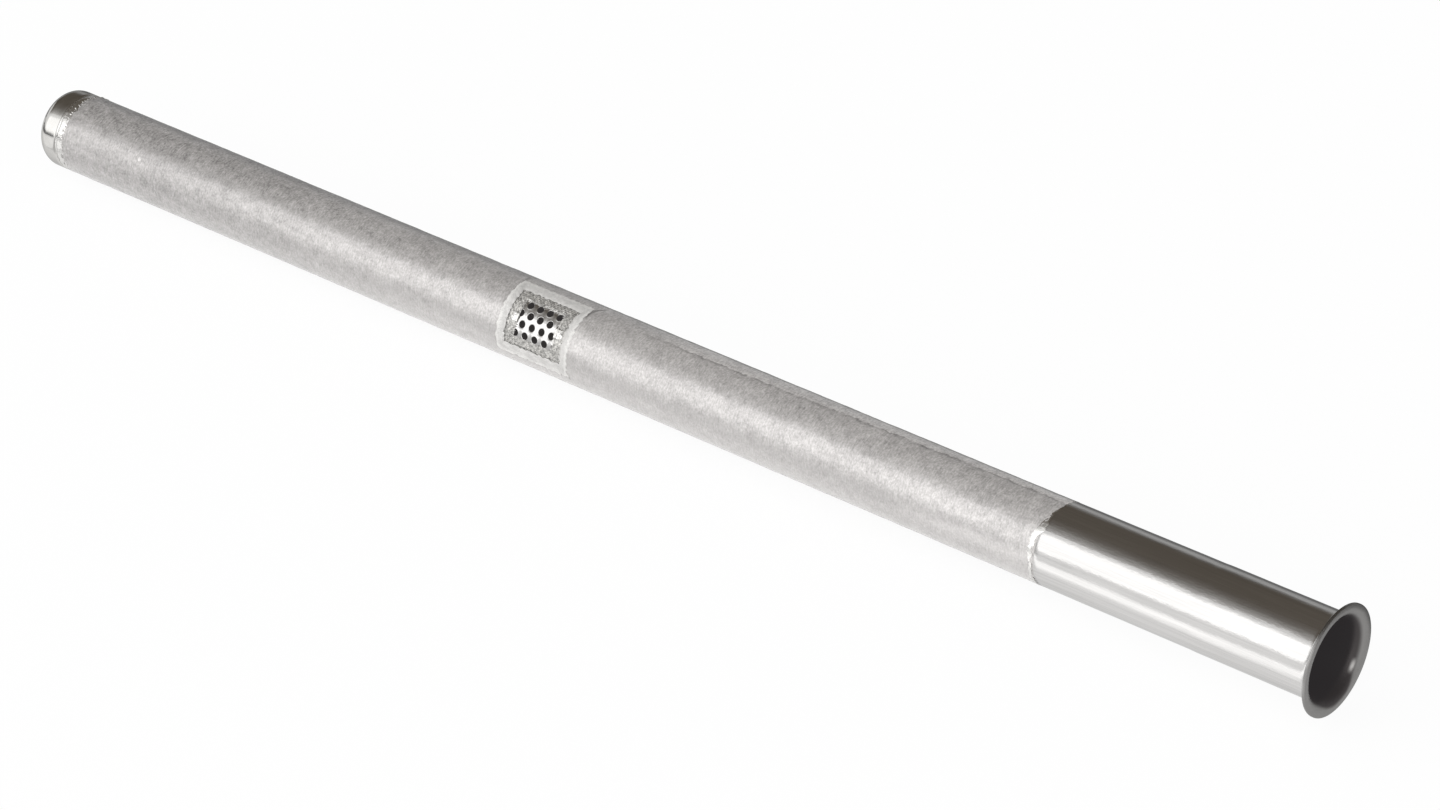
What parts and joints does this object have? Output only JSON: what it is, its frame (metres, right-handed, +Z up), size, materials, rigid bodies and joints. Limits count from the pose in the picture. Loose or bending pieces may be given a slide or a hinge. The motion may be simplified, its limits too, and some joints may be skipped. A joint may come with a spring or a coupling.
{
  "type": "filter tube",
  "caption": "Long metal filter tube: perforated core wound in wire mesh, with a flanged open collar, a domed closed end and a window that shows the layers.",
  "frame": {"origin": "on the surface that the rim and the cap lie on, under the middle of the tube's length", "axes": "+X along the tube, out of its open flanged end, which the lie of the tube raises by 0.45 degrees; +Z up; the window looks towards -Y and 36.7 degrees up"},
  "size_m": [0.5152, 0.035, 0.035],
  "materials": {
    "polished_steel": "polished, with fine lengthwise scratches",
    "perforated_steel": "bright rolled sheet",
    "support_wire": "coarse woven wire, matt",
    "filter_wire": "fine woven wire, matt with a soft sheen",
    "binding": "pale, fused into the wire",
    "braze": "bright and slightly ragged",
    "cap_steel": "satin, drawn sheet"
  },
  "bodies": {
    "root": {"collar_tube": "polished_steel", "perforated_core": "perforated_steel", "support_mesh": "support_wire", "filter_mesh": "filter_wire", "window_binding": "binding", "cap_braze": "braze", "end_cap": "cap_steel"}
  },
  "joints": []
}
